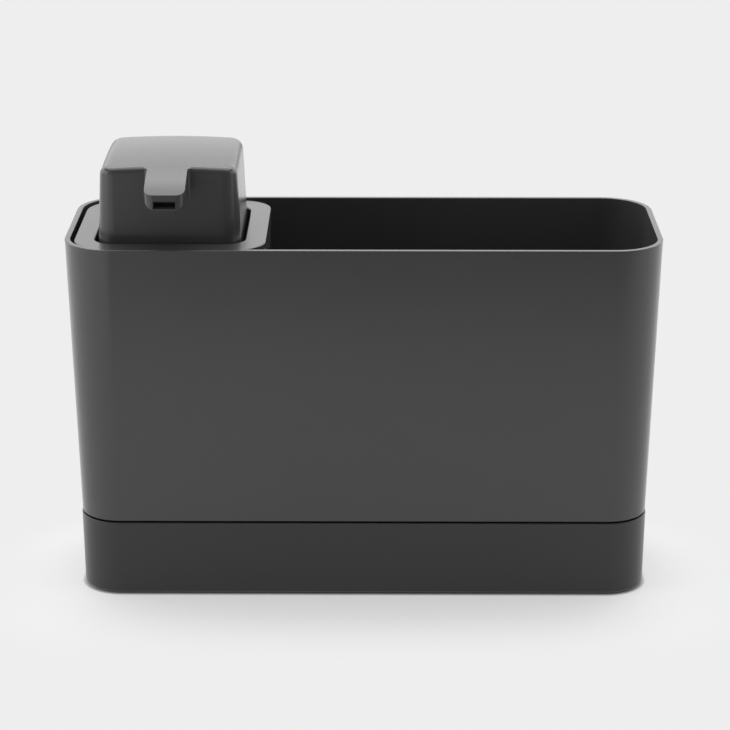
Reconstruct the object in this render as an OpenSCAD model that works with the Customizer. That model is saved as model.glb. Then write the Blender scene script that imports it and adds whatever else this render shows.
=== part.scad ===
// Sink caddy with a soap dispenser. A drip tray carries a long open tub. A soap
// bottle stands in the left end of the tub, and its pump head sinks into a square
// well in the lid. Origin: middle of the tray's underside, on the surface that the
// feet stand on. +X runs along the tub to the open bay, and the spout points to -Y.

/* [Tub] */
// Outer width at the rim
tub_w = 230; // [205:1:260]
// Outer depth at the rim
tub_d = 83; // [80:1:95]
// Height of the rim above the surface
rim_z = 141.8; // [138:0.1:160]
// Outer corner radius at the rim
tub_corner_r = 19.3; // [18:0.1:22]
// Wall thickness
tub_wall = 2.1; // [1.7:0.1:2.5]
// Draft of the tub's and the bottle's walls, in degrees
wall_draft = 1.7; // [1:0.1:2]
// Round on the outer edge of the rim
rim_round = 1; // [0.5:0.1:1.3]
// Round on the inner edge of the rim
rim_inner_round = 0.4; // [0.2:0.1:0.6]
// Floor thickness
tub_floor_t = 2.2; // [1.6:0.1:3]
// Height of the outer wall's lower edge above the surface
seam_z = 31.2; // [28:0.1:36]
// How far the narrower foot of the tub reaches into the tray
spigot_h = 19.2; // [14:0.1:21]
// Wall thickness of that foot
spigot_wall = 2; // [1.6:0.1:2.6]
// Drain slots in each of two rows
drain_count = 6; // [3:1:8]
// Length of a drain slot
drain_l = 22; // [12:1:26]
// Width of a drain slot
drain_w = 3; // [2:0.1:3.6]
// Distance between drain slots
drain_pitch = 20; // [12:1:20]

/* [Drip tray] */
// Shadow gap between the tray and the tub
seam_gap = 1; // [0.5:0.1:2]
// How far the tray stands proud of the tub at the gap
tray_proud = 0.25; // [0:0.05:0.5]
// Draft of the tray's walls, in degrees
tray_draft = 1; // [0.5:0.1:2]
// Wall thickness
tray_wall = 2.2; // [1.6:0.1:2.6]
// Floor thickness
tray_floor_t = 2.2; // [1.8:0.1:3]
// Round on the lower edge
tray_round = 1.8; // [0.8:0.1:2.2]
// Clearance between the tub's foot and the tray
tray_fit = 0.7; // [0.4:0.1:1]
// Thickness of the ribs that carry the tub
rest_rib_t = 2; // [1.2:0.1:3]
// Reach of those ribs from the tray's long walls
rest_rib_l = 14; // [8:1:18]
// Distance between those ribs
rest_rib_pitch = 80; // [60:1:90]
// Radius of a foot
foot_r = 6; // [4:0.1:7]
// How far a foot stands below the tray
foot_proud = 0.6; // [0.4:0.1:1]
// Depth of the pocket that a foot sits in
foot_pocket = 1; // [0.5:0.1:1.2]
// Distance from a corner foot's centre to the outline of the rim
foot_inset = 17; // [15:0.5:20]

/* [Bottle] */
// Width of the dispenser at the rim
disp_w = 74.1; // [72:0.1:84]
// Gap between the dispenser and the tub's wall
disp_gap = 1.3; // [1:0.1:1.6]
// Corner radius on the side of the open bay
disp_corner_r = 13; // [11.5:0.1:14]
// Wall thickness
bottle_wall = 1.8; // [1.4:0.1:2.2]
// Floor thickness
bottle_floor_t = 2; // [1.6:0.1:3]
// Clearance between the bottle's foot and the tub's foot
boot_gap = 1; // [0.8:0.1:1.4]
// Round on the bottle's lower edge
bottle_round = 1.5; // [0.6:0.1:1.8]
// Height of the fence that keeps the bottle in its place
fence_h = 8; // [4:0.5:12]
// Length of the fence
fence_l = 40; // [20:1:50]
// Thickness of the fence
fence_t = 1.5; // [1.2:0.1:2.5]
// Clearance between the fence and the bottle
fence_gap = 0.6; // [0.3:0.1:1]

/* [Lid] */
// How far the lid lies below the rim
lid_drop = 0.7; // [0:0.1:1.5]
// Thickness of the plate
lid_plate = 2.6; // [2:0.1:3.4]
// Round on the plate's upper edge
lid_round = 0.7; // [0.3:0.1:1]
// Broken edge at the joint of lid and bottle
edge_break = 0.4; // [0.2:0.1:0.6]
// Depth of the plug that reaches into the bottle
plug_h = 11; // [9:0.5:13]
// Wall thickness of the plug
plug_wall = 2; // [1.8:0.1:2.2]
// Clearance between the plug and the bottle
plug_gap = 0.3; // [0.2:0.05:0.4]
// Height of the seal
seal_h = 2.6; // [2:0.1:3]
// Depth of the groove that the seal sits in
seal_depth = 0.9; // [0.6:0.1:1.1]
// Clearance between the seal and the bottle
seal_gap = 0.08; // [0.05:0.01:0.12]
// Least width of the plate round the square opening that the head sinks into
lid_border = 8.05; // [7.5:0.05:8.6]
// Corner radius of the opening
well_corner_r = 7.5; // [7:0.1:9]
// Broken edge round the opening
well_edge = 0.5; // [0.2:0.1:0.8]
// Depth of the well
well_depth = 20.5; // [19:0.1:24]
// Wall thickness of the well
well_wall = 1.6; // [1.2:0.1:1.8]
// Thickness of the well's floor
well_floor_t = 2.4; // [2:0.1:3.2]

/* [Pump] */
// Outer radius of the cylinder
cyl_r = 8.8; // [8.5:0.1:9.5]
// Wall thickness of the cylinder
cyl_wall = 1.4; // [1.2:0.1:1.6]
// Length of the bore below the flange
cyl_bore_l = 42; // [40:0.5:48]
// Radius of the cylinder's flange
flange_r = 13.5; // [12.5:0.1:15]
// Thickness of the flange
flange_t = 2; // [1.5:0.1:3]
// Thickness of the washer under the flange
washer_t = 1.2; // [0.8:0.1:1.6]
// Outer radius of the clamp nut
nut_r = 14; // [12.5:0.1:15]
// Height of the clamp nut
nut_h = 8; // [6:0.5:10]
// Grip ribs round the clamp nut
nut_ribs = 10; // [6:1:14]
// Radius of a grip rib
nut_rib_r = 0.9; // [0.6:0.1:1.2]
// Radius of the cap on the cylinder
cap_r = 10.5; // [9.8:0.1:11.5]
// Height of the cap above the flange
cap_h = 2.6; // [1.8:0.1:3]
// Depth of the cap's plug in the cylinder
cap_plug_h = 6; // [4:0.5:7]
// Radius of the stem
stem_r = 4; // [3.8:0.1:4.3]
// Radius of the stem's bore
stem_bore_r = 2.4; // [2:0.1:2.5]
// Height of the piston
piston_h = 9.5; // [9:0.1:11]
// Clearance between the piston's body and the cylinder
piston_gap = 0.4; // [0.3:0.05:0.6]
// Height of the piston's seal
lip_h = 4; // [3:0.1:5]
// Radius of the two check balls
ball_r = 2.5; // [2.3:0.05:2.6]
// Radius of the throat below a ball
throat_r = 1.6; // [1.2:0.1:1.7]
// Lift of a ball off its seat
ball_lift = 1.2; // [0.8:0.1:1.5]
// Radius of the spring's wire
wire_r = 0.55; // [0.4:0.05:0.6]
// Mean radius of the spring
coil_r = 5.6; // [5.4:0.1:5.8]
// Turns of the spring
coil_turns = 7; // [5:1:8]
// Outer radius of the dip tube
tube_r = 3.5; // [3.2:0.1:3.7]
// Wall thickness of the dip tube
tube_wall = 0.9; // [0.6:0.1:1.1]
// Clearance of the dip tube above the bottle's floor
tube_clear = 3; // [2:0.5:6]
// Travel of the head
stroke = 12; // [9:0.5:12]

/* [Pump head] */
// Gap between the head and the opening, where the head passes the lid
head_gap = 1.5; // [1.3:0.1:1.8]
// Height of the top above the lid
head_top_h = 30.5; // [28:0.1:34]
// How far the head's wall reaches below the top of the lid
head_sink = 6.5; // [4:0.1:6.8]
// Draft of the head's walls, in degrees
head_draft = 2.5; // [1:0.1:3]
// Corner radius of the head where it passes the lid
head_corner_r = 6.6; // [6:0.1:7]
// Round on the head's upper edge
head_round = 2.5; // [1.5:0.1:2.8]
// Wall thickness
head_wall = 2; // [1.6:0.1:2.4]
// Thickness of the head's ribs
head_rib_t = 1.6; // [1.2:0.1:2]
// Width of the spout
spout_w = 15.4; // [15:0.1:17]
// How far the spout stands out past the head's front at the lid
spout_reach = 18; // [15:0.1:19]
// Height of the front end of the spout's top above the lid
spout_tip_h = 23.4; // [23:0.1:24.5]
// Height of the spout's underside above the lid
spout_base_h = 17.2; // [16.2:0.1:17.4]
// Corner radius at the spout's front, seen from above
spout_corner_r = 4; // [2:0.1:4.2]
// Radius of the spout's lower corners, seen from the front
spout_lower_r = 3.6; // [3:0.1:3.8]
// Thickness of the spout's walls
spout_wall = 1.1; // [1:0.1:1.3]
// Width of the outlet
outlet_w = 8.5; // [7:0.1:8.8]
// Height of the outlet
outlet_h = 2.7; // [2:0.1:2.9]
// Wall below the outlet
outlet_sill = 0.8; // [0.7:0.1:1]

/* [Hidden] */

$fn = 64;
body_grey = "#3e3e3e";
tray_grey = "#383838";
part_white = "#d8d8d4";
soft_grey = "#8a8a88";
steel = "#b8bcc0";
// Overrun of a cut past the face that it opens
over = 1;
// Clearance of pieces pressed together within one body
snug = 0.03;
// Running clearance between the pump's moving pieces
run = 0.05;
// Radius left open in the middle of a swept corner, which the middle block covers
hub = 1;
// Shares of a rounded edge's angle at its points
arc_shares = [0, 0.2, 0.4, 0.6, 0.8, 1];

// How far a drafted wall has come in at a height below the rim
function drawn(z) = (rim_z - z) * tan(wall_draft);
// Points of a rounded edge, about a centre from one direction to another
function arc(c, r, a0, a1) =
    [for (s = arc_shares) let (a = a0 + s * (a1 - a0)) c + r * [cos(a), sin(a)]];

// Heights
tray_top = seam_z - seam_gap;
tray_floor_top = foot_proud + tray_floor_t;
tub_under = seam_z - spigot_h;
tub_floor_top = tub_under + tub_floor_t;
lid_top = rim_z - lid_drop;
mouth_z = lid_top - lid_plate;
well_floor_top = lid_top - well_depth;
well_under = well_floor_top - well_floor_t;

// Offsets from the outline of the tub's rim, outwards
tray_outer_u = tray_proud - drawn(seam_z);
function tray_u(z) = tray_outer_u - (tray_top - z) * tan(tray_draft);
function spigot_u(z) = tray_u(z) - tray_wall - tray_fit;
function spigot_in_u(z) = spigot_u(z) - spigot_wall;
function tub_in_u(z) = -drawn(z) - tub_wall;
// The tub's wall steps in to its foot between these heights
step_top = seam_z + tub_wall + spigot_wall;
step_low = seam_z + tub_wall / 2;

// Outline of the dispenser at the rim
disp_off = tub_wall + disp_gap;
disp_x0 = disp_off - tub_w / 2;
disp_x1 = disp_x0 + disp_w;
disp_cx = (disp_x0 + disp_x1) / 2;
disp_yh = tub_d / 2 - disp_off;
disp_rl = tub_corner_r - disp_off;
disp_depth = min(disp_rl, disp_corner_r);
// The bottle's foot, as offsets from the dispenser's outline
function boot_u(z) = spigot_in_u(z) + disp_off - boot_gap;
boot_top = step_top + boot_gap;
boot_low = step_low + boot_gap;

// Sides of the square opening in the lid and of the head that passes it
well_w = 2 * min(disp_w / 2, disp_yh) - 2 * lid_border;
head_w = well_w - 2 * head_gap;

// Pump
bore_r = cyl_r - cyl_wall;
flange_z = well_floor_top + washer_t;
flange_top = flange_z + flange_t;
bore_end = flange_top - cyl_bore_l;
piston_top = flange_top - cap_plug_h - run;
piston_under = piston_top - piston_h;
ball_chamber_r = ball_r + ball_lift / 2 + snug;
ball_gap = 0.08;
// Height of a resting ball's centre above the foot of its conical seat
ball_seat_h = ball_r * sqrt(2) - throat_r + ball_gap;
chamber_h = ball_seat_h + ball_r + ball_lift + ball_gap;
inlet_seat_z = bore_end - chamber_h;
cage_t = 2;
cage_top = bore_end + cage_t;
cage_boss_r = coil_r - wire_r - cyl_wall / 2;
tube_top = inlet_seat_z - cage_t;
nipple_l = 10;
nipple_r = tube_r + cyl_wall;
tube_end = tub_floor_top + bottle_floor_t + tube_clear;

// Head
head_h2 = head_w / 2;
head_top = lid_top + head_top_h;
head_low = lid_top - head_sink;
function head_u(z) = (lid_top - z) * tan(head_draft);
head_ceiling = head_top - head_wall;
spout_base = lid_top + spout_base_h;
spout_tip = lid_top + spout_tip_h;
spout_front = -head_h2 - spout_reach;
outlet_z = spout_base + outlet_sill;
duct_w = outlet_w + 2 * spout_wall - 2 * snug;
duct_h = outlet_h + 2 * outlet_sill;
duct_z = outlet_z + snug;
duct_top = duct_z + duct_h;
duct_bore_z = duct_z + outlet_sill;
duct_end = -head_h2 + head_wall;
nozzle_front = spout_front + spout_wall + snug;
socket_wall = 2.4;
socket_r = stem_r + socket_wall;
socket_low = flange_top + cap_h + stroke + head_wall / 2;
stem_top = duct_bore_z - snug;
outlet_seat_z = stem_top - chamber_h - cage_t;
retainer_z = outlet_seat_z + chamber_h;

// Sweeps a wall's section round a rounded rectangle that runs from x0 to x1 and
// from -yh to yh. The section is drawn outwards from the outline and upwards.
module round_wall(x0, x1, yh, rl, rr) {
    for (s = [-1, 1]) {
        translate([x0 + rl, s * (yh - rl), 0])
            rotate([0, 0, s > 0 ? 90 : 180]) rotate_extrude(angle = 90) translate([rl, 0]) children();
        translate([x1 - rr, s * (yh - rr), 0])
            rotate([0, 0, s > 0 ? 0 : -90]) rotate_extrude(angle = 90) translate([rr, 0]) children();
    }
    long = x1 - rr - x0 - rl;
    translate([x1, yh - rr, 0]) rotate([90, 0, 0]) linear_extrude(2 * (yh - rr)) children();
    translate([x0, rl - yh, 0])
        rotate([0, 0, 180]) rotate([90, 0, 0]) linear_extrude(2 * (yh - rl)) children();
    translate([x0 + rl, yh, 0]) rotate([0, 0, 90]) rotate([90, 0, 0]) linear_extrude(long) children();
    translate([x1 - rr, -yh, 0]) rotate([0, 0, -90]) rotate([90, 0, 0]) linear_extrude(long) children();
}

// Fills the middle of such a sweep, from one height to another. The sweep's section
// ends a hub short of the corner radius, and the block overlaps it.
module middle(x0, x1, yh, r, z0, z1) {
    in = r - 2 * hub;
    translate([x0 + in, in - yh, z0]) cube([x1 - x0 - 2 * in, 2 * (yh - in), z1 - z0]);
}

// A solid bar on a rounded square, about the dispenser's middle
module square_bar(half, r, z0, z1) {
    round_wall(disp_cx - half, disp_cx + half, half, r, r)
        translate([hub - r, z0]) square([r - hub, z1 - z0]);
    middle(disp_cx - half, disp_cx + half, half, r, z0, z1);
}

module tub_wall_sweep() round_wall(-tub_w / 2, tub_w / 2, tub_d / 2, tub_corner_r, tub_corner_r) children();
module tub_middle(z0, z1) middle(-tub_w / 2, tub_w / 2, tub_d / 2, tub_corner_r, z0, z1);
module disp_wall_sweep() round_wall(disp_x0, disp_x1, disp_yh, disp_rl, disp_corner_r) children();
module disp_middle(z0, z1) middle(disp_x0, disp_x1, disp_yh, disp_depth, z0, z1);

// A ring about the pump's axis
module ring(r_in, r_out, z0, z1) {
    rotate_extrude() translate([r_in, z0]) square([r_out - r_in, z1 - z0]);
}

module at_pump() translate([disp_cx, 0, 0]) children();

module tray_section() {
    low_u = tray_u(foot_proud);
    in_top = tray_outer_u - tray_wall;
    in_low = tray_u(tray_floor_top) - tray_wall;
    polygon(concat(
        [[hub - tub_corner_r, foot_proud]],
        arc([low_u - tray_round, foot_proud + tray_round], tray_round, -90, -tray_draft),
        arc([tray_outer_u - rim_inner_round, tray_top - rim_inner_round], rim_inner_round, 0, 90),
        [[in_top, tray_top]],
        arc([in_low - tray_round, tray_floor_top + tray_round], tray_round, 0, -90),
        [[hub - tub_corner_r, tray_floor_top]]));
}

foot_x = tub_w / 2 - foot_inset;
foot_y = tub_d / 2 - foot_inset;

// A foot near each corner, and one under the middle that marks the origin
module at_feet() {
    children();
    for (x = [-foot_x, foot_x], y = [-foot_y, foot_y]) translate([x, y, 0]) children();
}

module drip_tray() {
    color(tray_grey) difference() {
        union() {
            tub_wall_sweep() tray_section();
            tub_middle(foot_proud, tray_floor_top);
            // Ribs that carry the tub, rooted in the long walls
            rib_root = tub_d / 2 + tray_u(tub_under) - tray_wall / 2;
            rib_low = tray_floor_top - tray_floor_t / 2;
            for (x = [-rest_rib_pitch, 0, rest_rib_pitch], s = [-1, 1])
                translate([x - rest_rib_t / 2, s > 0 ? rib_root - rest_rib_l : -rib_root, rib_low])
                    cube([rest_rib_t, rest_rib_l, tub_under - rib_low]);
        }
        at_feet() translate([0, 0, foot_proud - over]) cylinder(h = foot_pocket + over, r = foot_r);
    }
}

module tray_feet() {
    color(soft_grey) at_feet() cylinder(h = foot_proud + foot_pocket, r = foot_r - snug);
}

module tub_section() {
    foot_u = spigot_u(tub_under);
    polygon(concat(
        [[hub - tub_corner_r, tub_under]],
        arc([foot_u - tray_round, tub_under + tray_round], tray_round, -90, -tray_draft),
        [[spigot_u(seam_z), seam_z], [-drawn(seam_z), seam_z]],
        arc([-rim_round, rim_z - rim_round], rim_round, 0, 90),
        arc([rim_inner_round - tub_wall, rim_z - rim_inner_round], rim_inner_round, 90, 180),
        [[tub_in_u(step_top), step_top], [spigot_in_u(step_low), step_low]],
        arc([spigot_in_u(tub_floor_top) - tray_round, tub_floor_top + tray_round], tray_round, 0, -90),
        [[hub - tub_corner_r, tub_floor_top]]));
}

// The bay runs from the bottle to the tub's right end
bay_x0 = disp_x1 - drawn(step_top);
bay_x1 = tub_w / 2 + spigot_in_u(tub_floor_top);

module tub() {
    color(body_grey) difference() {
        union() {
            tub_wall_sweep() tub_section();
            tub_middle(tub_under, tub_floor_top);
            // Fence that keeps the bottle against the left end
            fence_x = disp_x1 + boot_u(tub_floor_top + fence_h) + fence_gap;
            translate([fence_x, -fence_l / 2, tub_floor_top - tub_floor_t / 2])
                cube([fence_t, fence_l, fence_h + tub_floor_t / 2]);
        }
        for (i = [0 : drain_count - 1], s = [-1, 1])
            translate([(bay_x0 + bay_x1 + fence_t) / 2 + (i - (drain_count - 1) / 2) * drain_pitch,
                s * (drain_l / 2 + drain_w), tub_under - over])
                drain_cut();
    }
}

module drain_cut() {
    deep = tub_floor_t + 2 * over;
    straight = drain_l - drain_w;
    translate([-drain_w / 2, -straight / 2, 0]) cube([drain_w, straight, deep]);
    for (s = [-1, 1]) translate([0, s * straight / 2, 0]) cylinder(h = deep, r = drain_w / 2);
}

module bottle_section() {
    foot_z = tub_floor_top;
    in_z = foot_z + bottle_floor_t;
    polygon(concat(
        [[hub - disp_depth, foot_z]],
        arc([boot_u(foot_z) - bottle_round, foot_z + bottle_round], bottle_round, -90, 0),
        [[boot_u(boot_low), boot_low], [-drawn(boot_top), boot_top],
        [-drawn(mouth_z), mouth_z - edge_break], [-drawn(mouth_z) - edge_break, mouth_z],
        [-drawn(mouth_z) - bottle_wall, mouth_z],
        [-drawn(boot_top) - bottle_wall, boot_top + bottle_wall / 2],
        [boot_u(boot_low) - bottle_wall, boot_low + bottle_wall / 2]],
        arc([boot_u(foot_z) - bottle_wall - bottle_round, in_z + bottle_round], bottle_round, 0, -90),
        [[hub - disp_depth, in_z]]));
}

module soap_bottle() {
    color(body_grey) {
        disp_wall_sweep() bottle_section();
        disp_middle(tub_floor_top, tub_floor_top + bottle_floor_t);
    }
}

// Offsets of the plug's outer face and of the bottle's inner face
function mouth_u(z) = -drawn(z) - bottle_wall;
function plug_u(z) = mouth_u(z) - plug_gap;
plug_low = mouth_z - plug_h;
seal_z = plug_low + (plug_h - seal_h) / 2;

module lid_section() {
    edge_u = -drawn(lid_top);
    polygon(concat(
        [[hub - disp_depth, mouth_z], [plug_u(mouth_z) - plug_wall, mouth_z],
        [plug_u(plug_low) - plug_wall, plug_low], [plug_u(plug_low) - edge_break, plug_low],
        [plug_u(plug_low), plug_low + edge_break],
        [plug_u(seal_z), seal_z], [plug_u(seal_z) - seal_depth, seal_z],
        [plug_u(seal_z + seal_h) - seal_depth, seal_z + seal_h], [plug_u(seal_z + seal_h), seal_z + seal_h],
        [plug_u(mouth_z), mouth_z],
        [edge_u - edge_break, mouth_z], [edge_u, mouth_z + edge_break]],
        arc([edge_u - lid_round, lid_top - lid_round], lid_round, 0, 90),
        [[hub - disp_depth, lid_top]]));
}

module dispenser_lid() {
    well_h2 = well_w / 2;
    color(body_grey) difference() {
        union() {
            disp_wall_sweep() lid_section();
            disp_middle(mouth_z, lid_top);
            square_bar(well_h2 + well_wall, well_corner_r + well_wall, well_under, lid_top - lid_plate / 2);
        }
        square_bar(well_h2, well_corner_r, well_floor_top, lid_top + over);
        round_wall(disp_cx - well_h2, disp_cx + well_h2, well_h2, well_corner_r, well_corner_r)
            polygon([[-well_edge, lid_top - well_edge], [0, lid_top - well_edge], [well_edge, lid_top],
                [well_edge, lid_top + over], [-well_edge, lid_top + over]]);
        at_pump() translate([0, 0, well_under - over])
            cylinder(h = well_floor_t + 2 * over, r = cyl_r + snug);
    }
}

module lid_seal() {
    color(soft_grey) disp_wall_sweep() polygon([
        [plug_u(seal_z) - seal_depth + snug, seal_z + snug], [mouth_u(seal_z) - seal_gap, seal_z + snug],
        [mouth_u(seal_z + seal_h) - seal_gap, seal_z + seal_h - snug],
        [plug_u(seal_z + seal_h) - seal_depth + snug, seal_z + seal_h - snug]]);
}

module pump_cylinder() {
    color(part_white) at_pump() rotate_extrude() polygon([
        [bore_r, flange_top], [flange_r, flange_top], [flange_r, flange_z], [cyl_r, flange_z],
        [cyl_r, bore_end], [nipple_r, bore_end - cyl_r + nipple_r], [nipple_r, tube_top - nipple_l],
        [tube_r + snug, tube_top - nipple_l], [tube_r + snug, tube_top], [throat_r, tube_top],
        [throat_r, inlet_seat_z], [ball_chamber_r, inlet_seat_z + ball_chamber_r - throat_r],
        [ball_chamber_r, bore_end], [bore_r, bore_end]]);
}

module cylinder_washer() {
    color(soft_grey) at_pump() ring(cyl_r + snug, flange_r, well_floor_top, flange_z);
}

module clamp_nut() {
    color(part_white) at_pump() difference() {
        union() {
            translate([0, 0, well_under - nut_h]) cylinder(h = nut_h, r = nut_r);
            for (i = [0 : nut_ribs - 1]) rotate([0, 0, i * 360 / nut_ribs])
                translate([nut_r, 0, well_under - nut_h])
                    cylinder(h = nut_h - flange_t, r = nut_rib_r, $fn = 16);
        }
        translate([0, 0, well_under - nut_h - over]) cylinder(h = nut_h + 2 * over, r = cyl_r + snug);
    }
}

module cylinder_cap() {
    color(part_white) at_pump() rotate_extrude() polygon([
        [stem_r + run, flange_top + cap_h], [cap_r - edge_break, flange_top + cap_h],
        [cap_r, flange_top + cap_h - edge_break], [cap_r, flange_top], [bore_r - snug, flange_top],
        [bore_r - snug, flange_top - cap_plug_h], [stem_r + run, flange_top - cap_plug_h]]);
}

// Holes in the ball cage, round the middle
cage_holes = 4;
cage_hole_r = 0.9;

module ball_cage() {
    color(part_white) at_pump() difference() {
        union() {
            translate([0, 0, bore_end]) cylinder(h = cage_t, r = bore_r - snug);
            translate([0, 0, cage_top - cage_t / 2]) cylinder(h = cage_t * 1.5, r = cage_boss_r);
        }
        for (i = [0 : cage_holes - 1]) rotate([0, 0, i * 360 / cage_holes])
            translate([ball_chamber_r - cage_hole_r, 0, bore_end - over])
                cylinder(h = 2 * cage_t + 2 * over, r = cage_hole_r);
    }
}

module inlet_ball() {
    color(steel) at_pump() translate([0, 0, inlet_seat_z + ball_seat_h]) sphere(r = ball_r);
}

// The tube's lower end is cut on the slant
module dip_tube() {
    color(part_white) at_pump() difference() {
        translate([0, 0, tube_end]) cylinder(h = tube_top - tube_end, r = tube_r);
        translate([0, 0, tube_end - over])
            cylinder(h = tube_top - tube_end + 2 * over, r = tube_r - tube_wall);
        cut = 8 * tube_r;
        translate([-tube_r, 0, tube_end]) rotate([0, -45, 0]) translate([-cut / 2, -cut / 2, -cut]) cube(cut);
    }
}

// The spring's wire: closed end turns and open turns between them
coil_steps = 16;
wire_sides = 6;
spring_low = cage_top + wire_r;
spring_high = piston_under - wire_r;
coil_clear = 0.5;
end_pitch = 2 * wire_r + coil_clear;
function spring_z(t) = t < 1 ? spring_low + t * end_pitch
    : t > coil_turns - 1 ? spring_high - (coil_turns - t) * end_pitch
    : spring_low + end_pitch + (t - 1) / (coil_turns - 2) * (spring_high - spring_low - 2 * end_pitch);

module return_spring() {
    steps = coil_turns * coil_steps;
    points = [for (i = [0 : steps], j = [0 : wire_sides - 1])
        let (t = i / coil_steps, a = 360 * t, b = 360 * j / wire_sides, r = coil_r + wire_r * cos(b))
        [r * cos(a), r * sin(a), spring_z(t) + wire_r * sin(b)]];
    sides = [for (i = [0 : steps - 1], j = [0 : wire_sides - 1])
        let (k = (j + 1) % wire_sides, p = i * wire_sides, q = p + wire_sides)
        each [[p + j, p + k, q + k], [p + j, q + k, q + j]]];
    ends = [for (j = [1 : wire_sides - 2]) each [[0, j + 1, j],
        [steps * wire_sides, steps * wire_sides + j, steps * wire_sides + j + 1]]];
    color(steel) at_pump() polyhedron(points, concat(sides, ends));
}

piston_r = bore_r - piston_gap;
lip_groove = 1.2;
piston_floor_t = 2;
lip_z = piston_under + (piston_h - lip_h) / 2;
stem_end = piston_under + piston_floor_t;

module piston() {
    color(soft_grey) at_pump() rotate_extrude() polygon([
        [throat_r, piston_under], [piston_r, piston_under], [piston_r, lip_z], [piston_r - lip_groove, lip_z],
        [piston_r - lip_groove, lip_z + lip_h], [piston_r, lip_z + lip_h], [piston_r, piston_top],
        [stem_r + snug, piston_top], [stem_r + snug, stem_end], [throat_r, stem_end]]);
}

// A seal with an upper and a lower lip
module piston_seal() {
    color("dimgray") at_pump() rotate_extrude() polygon([
        [piston_r - lip_groove + snug, lip_z + snug], [bore_r - run, lip_z + snug],
        [bore_r - run, lip_z + lip_h / 4], [piston_r, lip_z + lip_h / 2],
        [bore_r - run, lip_z + lip_h * 3 / 4], [bore_r - run, lip_z + lip_h - snug],
        [piston_r - lip_groove + snug, lip_z + lip_h - snug]]);
}

module pump_stem() {
    color(part_white) at_pump() rotate_extrude() polygon([
        [stem_bore_r, stem_end + snug], [stem_r, stem_end + snug], [stem_r, stem_top],
        [ball_chamber_r, stem_top], [ball_chamber_r, outlet_seat_z + ball_chamber_r - throat_r],
        [throat_r, outlet_seat_z], [throat_r, outlet_seat_z - cage_t],
        [stem_bore_r, outlet_seat_z - cage_t - stem_bore_r + throat_r]]);
}

module outlet_ball() {
    color(steel) at_pump() translate([0, 0, outlet_seat_z + ball_seat_h]) sphere(r = ball_r);
}

module ball_retainer() {
    color(part_white) at_pump() ring(throat_r, ball_chamber_r - snug, retainer_z, stem_top);
}

module spout_duct() {
    color(part_white) at_pump() difference() {
        union() {
            translate([0, 0, socket_low]) cylinder(h = duct_top - socket_low, r = socket_r);
            translate([-duct_w / 2, duct_end, duct_z]) cube([duct_w, -duct_end, duct_h]);
        }
        translate([0, 0, socket_low - over])
            cylinder(h = stem_top - socket_low + over + snug, r = stem_r + snug);
        cylinder(h = duct_bore_z + outlet_h, r = ball_chamber_r - snug);
        translate([-outlet_w / 2, duct_end - over, duct_bore_z]) cube([outlet_w, over - duct_end, outlet_h]);
    }
}

module head_section() {
    low_u = head_u(head_low);
    top_u = head_u(head_top);
    polygon(concat(
        [[low_u - head_wall, head_low], [low_u, head_low]],
        arc([top_u - head_round, head_top - head_round], head_round, 0, 90),
        [[hub - head_corner_r, head_top], [hub - head_corner_r, head_ceiling],
        [head_u(head_ceiling) - head_wall, head_ceiling]]));
}

// The spout's outline from the front, from above and from the side
module spout_front_view() {
    h2 = spout_w / 2;
    flat_h = h2 - spout_lower_r;
    round_z = spout_base + spout_lower_r;
    translate([-h2, round_z]) square([spout_w, head_top - round_z]);
    translate([-flat_h, spout_base]) square([2 * flat_h, head_top - spout_base]);
    for (s = [-1, 1]) translate([s * flat_h, round_z]) circle(r = spout_lower_r);
}

spout_back = 2 * head_wall - head_h2;

module spout_top_view() {
    h2 = spout_w / 2;
    flat_h = h2 - spout_corner_r;
    round_y = spout_front + spout_corner_r;
    translate([-h2, round_y]) square([spout_w, spout_back - round_y]);
    translate([-flat_h, spout_front]) square([2 * flat_h, spout_back - spout_front]);
    for (s = [-1, 1]) translate([s * flat_h, round_y]) circle(r = spout_corner_r);
}

module spout_side_view() {
    root = -head_h2 - head_u(head_top);
    polygon([[spout_front, spout_base], [spout_back, spout_base], [spout_back, head_top],
        [root, head_top], [spout_front, spout_tip]]);
}

module spout_form() {
    intersection() {
        rotate([90, 0, 0]) linear_extrude(-spout_front) spout_front_view();
        linear_extrude(head_top) spout_top_view();
        rotate([90, 0, 90]) translate([0, 0, -spout_w / 2]) linear_extrude(spout_w) spout_side_view();
    }
}

module pump_head() {
    boss_r = socket_r + snug;
    color(body_grey) difference() {
        union() {
            round_wall(disp_cx - head_h2, disp_cx + head_h2, head_h2, head_corner_r, head_corner_r)
                head_section();
            middle(disp_cx - head_h2, disp_cx + head_h2, head_h2, head_corner_r, head_ceiling, head_top);
            at_pump() {
                spout_form();
                // Collar and ribs that hold the duct
                rib = head_h2 + head_u(head_ceiling) - head_wall / 2;
                rib_top = head_ceiling + head_wall / 2;
                translate([0, 0, duct_z]) cylinder(h = rib_top - duct_z, r = boss_r + head_rib_t);
                translate([-rib, -head_rib_t / 2, duct_top]) cube([2 * rib, head_rib_t, rib_top - duct_top]);
                translate([-head_rib_t / 2, 0, duct_top]) cube([head_rib_t, rib, rib_top - duct_top]);
            }
        }
        at_pump() {
            // Seat of the duct's upright, and the way of its channel to the outlet
            translate([0, 0, duct_z - over]) cylinder(h = duct_h + over + snug, r = boss_r);
            translate([-duct_w / 2 - snug, nozzle_front - snug, outlet_z])
                cube([duct_w + 2 * snug, -nozzle_front, duct_h + 2 * snug]);
            translate([-outlet_w / 2, spout_front - over, outlet_z]) cube([outlet_w, -spout_front, outlet_h]);
        }
    }
}

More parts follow.
